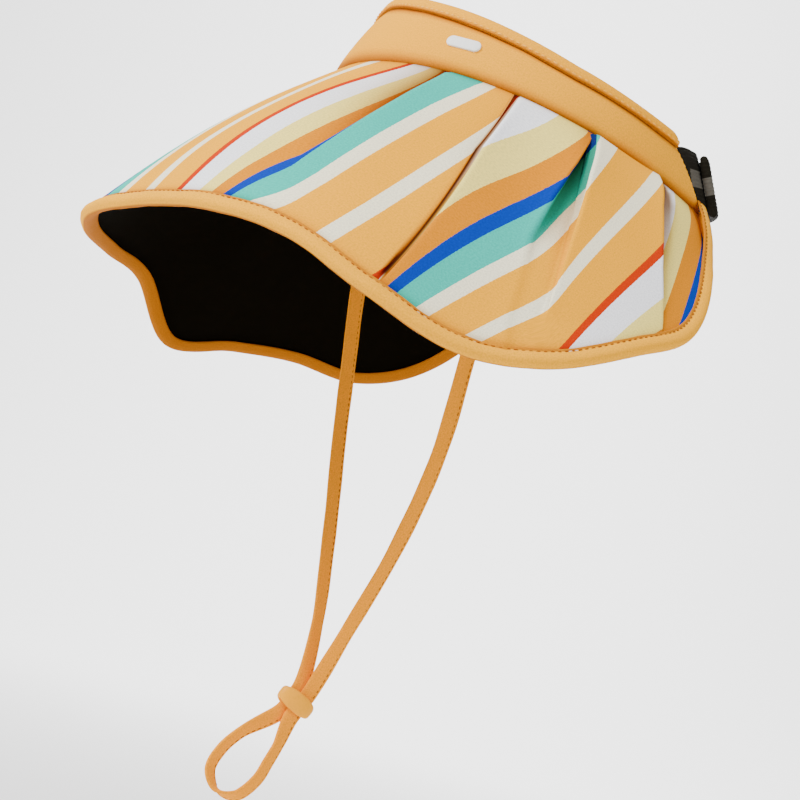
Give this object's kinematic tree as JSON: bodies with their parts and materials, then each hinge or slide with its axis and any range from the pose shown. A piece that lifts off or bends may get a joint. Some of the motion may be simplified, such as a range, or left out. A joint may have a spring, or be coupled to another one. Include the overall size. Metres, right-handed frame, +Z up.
{
  "type": "open-top sun hat",
  "caption": "Open-top sun hat with a padded headband, a wide pleated brim with a bound edge, a stretch strap behind and a chin strap with a sliding bead.",
  "frame": {"origin": "middle of the head opening, level with the headband's lower edge, where the head carries the hat", "axes": "-Y towards the front of the brim, +X towards the wearer's left, +Z up, worn with the front a little raised"},
  "size_m": [0.3258, 0.2794, 0.3721],
  "materials": {
    "apricot_cloth": "fine plain weave, padded, matte",
    "apricot_binding": "fine woven tape, stitched",
    "striped_cloth": "fine plain weave printed with slanting stripes",
    "black_cloth": "black coated cloth",
    "black_webbing": "ribbed stretch webbing with grey blocks",
    "orange_tape": "folded cloth tape with one stitched edge",
    "yellow_bead": "moulded, slightly glossy",
    "white_patch": "raised soft print"
  },
  "bodies": {
    "root": {"band_panel": "apricot_cloth", "top_roll": "apricot_cloth", "band_badge": "white_patch", "brim_shell": "striped_cloth", "brim_lining": "black_cloth", "brim_binding": "apricot_binding", "back_strap": "black_webbing", "strap_tab": "black_webbing", "chin_strap": "orange_tape", "sliding_bead": "yellow_bead"}
  },
  "joints": []
}
